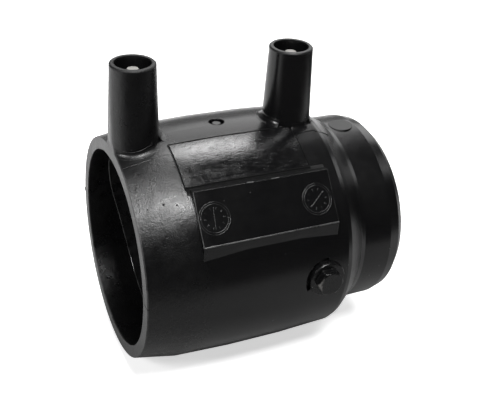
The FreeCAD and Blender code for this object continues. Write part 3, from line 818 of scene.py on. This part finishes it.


# Burrs on the plaque's edges, painted pale as painted highlights where they catch the light; the edges lie at
# 17.1 and 61.4 mm, and -7.6 and 9.1 mm up.
# Name, path, lift, points in each stretch, radius, material, wobble, unevenness, seed.
burrSet = [
    ("plaqueLip", [(17.1, -7.5), (61.4, -7.5)], -0.10, 40, 0.24, paleBurrAndHighlight, 0.03, 1.0, 3.0),
    ("plaqueFrontEdge", [(17.15, -7.6), (17.15, 9.1)], -0.05, 40, 0.15, paleBurrAndHighlight, 0.04, 1.2, 4.0),
    ("plaqueRearEdge", [(61.35, -7.6), (61.35, 9.1)], -0.06, 40, 0.10, beadMaterial, 0.04, 1.2, 5.0),
    ("plaqueTopEdge", [(17.1, 9.05), (61.4, 9.05)], -0.06, 40, 0.10, beadMaterial, 0.06, 1.9, 6.0),
    ("plaqueTopGlintFront", [(34.2, 9.2), (35.3, 9.1), (36.3, 9.05)],
     0.0, 6, 0.20, paintedGlintMaterial, 0.10, 1.6, 8.0),
    ("plaqueTopGlintRear", [(42.2, 9.1), (44.8, 9.1)], 0.0, 6, 0.14, paintedGlintMaterial, 0.08, 1.8, 9.0),
    ("plaqueLipGlintFront", [(17.3, -7.5), (20.6, -7.45)], 0.02, 10, 0.22, paintedGlintMaterial, 0.20, 1.8, 12.0),
    ("plaqueLipGlintRear", [(58.8, -7.5), (61.3, -7.5)], 0.02, 8, 0.20, paleBurrAndHighlight, 0.10, 1.2, 13.0),
]
for name, path, lift, count, radius, material, wobble, uneven, seed in burrSet:
    line(name, onPlate(path, lift, count), radius, material, wobble, uneven, seed)
print("stage: plaque edges")

# Geometry Nodes: a dial of two rings, short ticks and a bar across.
dialSet = {
    "rings": (1.0, 0.87), "tickRing": 0.62, "barStretch": 8.5, "around": 72, "sides": 10, "lift": -0.06,
    "Radius": 4.85, "Line": 0.15, "Tick": 0.40, "Ticks": 10,
    "places": [("dialMouth", 22.06, 0.5, 1.5), ("dialClosed", 55.7, 0.6, 0.7)],
}


def dialTree():
    tree, given = newTree("dateDial", ("Radius", "Line", "Tick", "Bar Turn"), ("Ticks",))
    values = {"Resolution": dialSet["sides"], "Radius": given["Line"]}
    section = addNode(tree, "GeometryNodeCurvePrimitiveCircle", values).outputs[0]

    def tube(curve, capped):
        values = {"Curve": curve, "Profile Curve": section, "Fill Caps": capped}
        return addNode(tree, "GeometryNodeCurveToMesh", values).outputs[0]

    parts = []
    for share in dialSet["rings"]:
        values = {"Resolution": dialSet["around"], "Radius": product(tree, given["Radius"], share)}
        parts.append(tube(addNode(tree, "GeometryNodeCurvePrimitiveCircle", values).outputs[0], False))
    # One tick lies along x. Copies of it stand on a circle, each turned to point outwards.
    ends = {"Start": product(tree, given["Tick"], -1.0), "End": given["Tick"]}
    ends = {key: addNode(tree, "ShaderNodeCombineXYZ", {0: reach}).outputs[0] for key, reach in ends.items()}
    tick = tube(addNode(tree, "GeometryNodeCurvePrimitiveLine", ends).outputs[0], True)
    values = {"Vertices": given["Ticks"], "Radius": product(tree, given["Radius"], dialSet["tickRing"])}
    dots = addNode(tree, "GeometryNodeMeshCircle", values)
    place = addNode(tree, "GeometryNodeInputPosition").outputs[0]
    aim = addNode(tree, "FunctionNodeAlignRotationToVector", {"Vector": place}, axis="X")
    values = {"Points": dots.outputs[0], "Instance": tick, "Rotation": aim.outputs[0]}
    parts.append(addNode(tree, "GeometryNodeInstanceOnPoints", values).outputs[0])
    # The bar is a tick drawn out and turned.
    turned = addNode(tree, "ShaderNodeCombineXYZ", {2: given["Bar Turn"]})
    values = {0: tick, "Rotation": turned.outputs[0], "Scale": (dialSet["barStretch"], 1.0, 1.0)}
    parts.append(addNode(tree, "GeometryNodeTransform", values).outputs[0])
    together = addNode(tree, "GeometryNodeJoinGeometry")
    for part in parts:
        feed(tree, together, {0: part})
    return endTree(tree, together.outputs[0], given["Material"])


dateDial = dialTree()
plaqueTurn = Matrix((Vector((1, 0, 0)), plaqueUp, plaqueOut)).transposed().to_4x4()
for name, x, rise, barTurn in dialSet["places"]:
    sizes = {key: dialSet[key] * mm for key in ("Radius", "Line", "Tick")}
    sizes = {**sizes, "Bar Turn": barTurn, "Ticks": dialSet["Ticks"]}
    dial = grown(name, bpy.data.meshes.new(name + "Seed"), dateDial, sizes, beadMaterial)
    dial.data.transform(Matrix.Translation(onPlaque(x, rise, dialSet["lift"])) @ plaqueTurn)
print("stage: dials")

# Clamp screw: hexagon with rounded corners and a chamfered face on a round collar, worn bright on its edges,
# with a painted highlight on its left side.
screwSet = {
    "x": 57.5, "shank": 2.5, "shankTip": 32.4, "seat": 37.4, "collar": 6.0, "collarFront": 39.5, "half": 3.85,
    "face": 42.0, "corner": 0.35, "slope": 30.0, "around": 144, "highlightSide": 178.0,
    "highlightReach": 52.0, "sharp": 28.0,
}
screwLook = {
    "scale": 900.0, "detail": 4.0, "noiseRoughness": 0.65, "wearAndHighlightFrom": (0.45, 0.95),
    "shades": [(0.0035, 0.0035, 0.0038), (0.16, 0.155, 0.15)], "bareMetal": 0.3, "roughness": (0.20, 0.34),
    "bump": 0.00002,
}
hexHalfTurn = 30
screwMaterial, screwTree, screwShader = newMaterial("blackSteel")
screwNoise = noiseNode(screwTree, objectPlace(screwTree), screwLook["scale"], screwLook["detail"],
                       screwLook["noiseRoughness"])
screwWearAndHighlight = addNode(screwTree, "ShaderNodeAttribute", attribute_name="wearAndHighlight").outputs["Fac"]
screwBareAndLit = mathNode(screwTree, "ADD", screwWearAndHighlight, mathNode(screwTree, "SUBTRACT", screwNoise, 0.5))
screwBareAndLit = rangeNode(screwTree, screwBareAndLit, *screwLook["wearAndHighlightFrom"])
feed(screwTree, screwShader, {
    "Base Color": colourMix(screwTree, screwBareAndLit, *screwLook["shades"]),
    "Metallic": product(screwTree, screwBareAndLit, screwLook["bareMetal"]),
    "Roughness": rangeNode(screwTree, screwNoise, *noiseSpan, *screwLook["roughness"]),
    "Normal": bumpNode(screwTree, screwNoise, screwLook["bump"]),
})


# How far the hexagon reaches from its middle in a direction, with its corners rounded.
def hexReach(phi):
    half, corner = screwSet["half"], screwSet["corner"]
    side = math.radians(abs((math.degrees(phi) % (2 * hexHalfTurn)) - hexHalfTurn))
    flat = (half - corner) * math.tan(math.radians(hexHalfTurn))
    if half * math.tan(side) <= flat:
        return half / math.cos(side)
    centre = Vector((half - corner, flat))
    facing = Vector((math.cos(side), math.sin(side)))
    reach = centre.dot(facing)
    return reach + math.sqrt(max(corner ** 2 - centre.length_squared + reach ** 2, 0.0))


# The screw's outline in one direction, from its face to its tip: reach, distance out, wear and painted
# highlight.
def screwOutline(phi):
    half, face, collar, front = (screwSet[key] for key in ("half", "face", "collar", "collarFront"))
    outer = hexReach(phi)
    bevel = face - (outer - half) * math.tan(math.radians(screwSet["slope"]))
    cornerWear = max(0.0, (outer - half) / (half / math.cos(math.radians(hexHalfTurn)) - half))
    sideHighlight = math.exp(-((math.degrees(phi) - screwSet["highlightSide"]) / screwSet["highlightReach"]) ** 2)
    return [
        (half - 0.8, face, 0.0),
        (half - 0.6, face, 0.65 * sideHighlight),
        (half - 0.14, face, 0.1 + 0.65 * sideHighlight),
        (half - 0.03, face - 0.02, 0.3 + 0.5 * sideHighlight),
        (max(half + 0.02, outer - 0.12), min(face - 0.05, bevel + 0.03), 0.2 + 0.7 * sideHighlight),
        (outer, min(bevel, face - 0.05) - 0.12, 0.15 + 0.7 * sideHighlight),
        (outer, bevel - 0.5, cornerWear * 0.5 + 0.3 * sideHighlight),
        (outer, front + 0.15, cornerWear * 0.3),
        (outer + 0.15, front, 0.0),
        (collar - 0.45, front, 0.0),
        (collar - 0.2, front - 0.08, 0.1),
        (collar - 0.05, front - 0.25, 0.2),
        (collar, front - 0.5, 0.0),
        (collar, screwSet["seat"], 0.0),
        (screwSet["shank"], screwSet["seat"], 0.0),
        (screwSet["shank"], screwSet["shankTip"], 0.0),
    ]


def clampScrew():
    around, x = screwSet["around"], screwSet["x"]
    points = [Vector((x, -screwSet["face"], 0)) * mm, Vector((x, -screwSet["shankTip"], 0)) * mm]
    wearAndHighlight = [0.0, 0.0]
    for turn in range(around):
        phi = 2 * math.pi * turn / around
        outline = screwOutline(phi)
        for reach, out, wearAndLight in outline:
            points.append(Vector((x + reach * math.cos(phi), -out, reach * math.sin(phi))) * mm)
            wearAndHighlight.append(wearAndLight)
    count = len(outline)
    faces = []
    for turn in range(around):
        here, there = 2 + turn * count, 2 + (turn + 1) % around * count
        faces.append((0, here, there))
        faces.append((1, there + count - 1, here + count - 1))
        for index in range(count - 1):
            faces.append((here + index, here + index + 1, there + index + 1, there + index))
    piece = newPiece("clampScrew", points, faces, screwMaterial, screwSet["sharp"])
    mark = piece.data.attributes.new("wearAndHighlight", "FLOAT", "POINT")
    mark.data.foreach_set("value", wearAndHighlight)
    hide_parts("clamp_screw")


clampScrew()
print("stage: clamp screw")

# Front edge of the wound sleeve, a thin line inside the mouth. Its section is in mm: offset and radius.
sleeveSet = {
    "high": 26.0, "low": -31.0, "front": 6.2, "lean": 6.4, "radius": 32, "around": 240, "sharp": 20.0,
    "section": [(-0.05, 32.04), (0.24, 31.87), (0.52, 32.04), (0.24, 32.3)],
}
# The edge is painted paler: a painted highlight along the thin line.
sleeveEdgeHighlightMaterial = plasticMaterial("sleeveEdge", 0.13, 0.04, 0.006, 0.0, 0.35)[0]


# The edge's distance from the mouth at a height: upright at the top and bottom, with two bends between.
def sleeveEdge(z):
    high, low, front, lean = (sleeveSet[key] for key in ("high", "low", "front", "lean"))
    bend = ((high - low) ** 2 + lean ** 2) / (4 * lean)
    if z >= high:
        return front
    if z <= low:
        return front + lean
    if z > (high + low) / 2:
        return front + bend - math.sqrt(bend ** 2 - (high - z) ** 2)
    return front + lean - bend + math.sqrt(bend ** 2 - (z - low) ** 2)


def sleeveBead():
    around, section = sleeveSet["around"], sleeveSet["section"]
    points = []
    for turn in range(around):
        angle = 2 * math.pi * turn / around
        edge = sleeveEdge(sleeveSet["radius"] * math.cos(angle))
        points += [Vector((edge + offset, reach * math.sin(angle), reach * math.cos(angle))) * mm
                   for offset, reach in section]
    faces = ringFaces(around, len(section))
    newPiece("sleeveFrontBead", points, faces, sleeveEdgeHighlightMaterial, sleeveSet["sharp"])


sleeveBead()

# Small round marks: a row of domes painted dark as painted shade for pits, with painted highlights on their
# edges, crumbs at the plaque's front edge painted pale as glints, and pale beads on the panel.
# Name, material, lift, flatness, and each mark's mm from the mouth, degrees from the top and radius.
domeSet = {"rings": 4, "around": 12, "sunk": 0.05, "sharp": 80.0}
markSet = [
    ("mouldDots", seamShadeMaterial, 0.0, 0.3,
     [(0.6, 41.5, 0.16), (1.6, 41.6, 0.22), (3.9, 41.4, 0.26), (8.6, 40.8, 0.38), (12.3, 42.3, 0.30)]),
    ("mouldDotGlints", paleBurrAndHighlight, 0.0, 0.9,
     [(4.1, 42.2, 0.13), (8.9, 41.7, 0.15), (12.5, 43.0, 0.13)]),
    ("partingPit", seamShadeMaterial, 0.05, 0.2,
     [(70.1, 14.8, 0.34)]),
    ("plaqueCrumbs", paleBurrAndHighlight, 0.0, 0.9,
     [(16.7, 38.6, 0.16), (16.6, 39.4, 0.20), (16.8, 40.3, 0.13), (16.5, 41.3, 0.16), (16.9, 42.4, 0.12)]),
    ("panelBeads", paleBurrAndHighlight, panelSet["lift"], 0.9,
     [(34.4, 28.5, 0.30), (34.2, 30.4, 0.20), (41.7, 32.9, 0.14), (43.3, 32.0, 0.14), (30.2, 26.5, 0.12)]),
]
# A nub on the mouth's far side, and a light spot beside the screw.
nubSet = {"place": (0.45, 35.6, 0.8), "way": (0, 1, 0), "radius": 0.42, "height": 3.2}
collarGlintSet = {"place": (52.2, -39.35, -1.9), "way": (0, -1, 0), "radius": 0.28, "height": 0.35}


def dome(points, faces, centre, out, radius, height):
    rings, around, sunk = domeSet["rings"], domeSet["around"], domeSet["sunk"]
    side = out.orthogonal().normalized()
    other = out.cross(side)
    base = len(points)
    for ring in range(rings):
        lean = math.pi / 2 * ring / rings
        for turn in range(around):
            phi = 2 * math.pi * turn / around
            flat = (side * math.cos(phi) + other * math.sin(phi)) * radius * math.cos(lean)
            points.append((centre + flat + out * (height * math.sin(lean) - sunk)) * mm)
    points.append((centre + out * (height - sunk)) * mm)
    top, last = len(points) - 1, base + (rings - 1) * around
    for turn in range(around):
        after = (turn + 1) % around
        for ring in range(rings - 1):
            here, there = base + ring * around, base + (ring + 1) * around
            faces.append((here + turn, here + after, there + after, there + turn))
        faces.append((last + turn, last + after, top))
    faces.append(tuple(base + turn for turn in reversed(range(around))))


def domes(name, material, lift, flatness, marks):
    points, faces = [], []
    for x, angle, radius in marks:
        centre = onBarrel(x, angle, lift) / mm
        out = Vector((0, centre.y, centre.z)).normalized()
        dome(points, faces, centre, out, radius, radius * flatness + domeSet["sunk"])
    newPiece(name, points, faces, material, domeSet["sharp"])


def stud(name, settings, material):
    points, faces = [], []
    place, way = Vector(settings["place"]), Vector(settings["way"])
    dome(points, faces, place, way, settings["radius"], settings["height"])
    newPiece(name, points, faces, material, domeSet["sharp"])


for settings in markSet:
    domes(*settings)
stud("mouthNub", nubSet, beadMaterial)
print("stage: small marks")

# Flash of the moulding closes the gap round the screw's collar, except on its upper left. Angles in degrees.
flashSet = {
    "inner": 5.95, "outer": 7.35, "from": -152.0, "to": 86.0, "around": 72, "rings": 4,
    "lift": 0.02, "depth": 0.25,
}


def screwFlash():
    inner, outer, first, last = (flashSet[key] for key in ("inner", "outer", "from", "to"))
    around, rings = flashSet["around"], flashSet["rings"]
    points = []
    for below in (0.0, flashSet["depth"]):
        for turn in range(around + 1):
            phi = math.radians(first + (last - first) * turn / around)
            for ring in range(rings + 1):
                reach = inner + (outer - inner) * ring / rings
                x, z = screwSet["x"] + reach * math.cos(phi), reach * math.sin(phi)
                radius = surfaceRadius(x) + flashSet["lift"] - below
                points.append(Vector((x, -math.sqrt(radius ** 2 - z ** 2), z)) * mm)
    newPiece("screwSeatFlash", points, slabFaces(around, rings, True), bodyMaterial)


screwFlash()
stud("collarGlint", collarGlintSet, screwMaterial)
print("stage: screw's seat")

scene.view_settings.view_transform = "Standard"
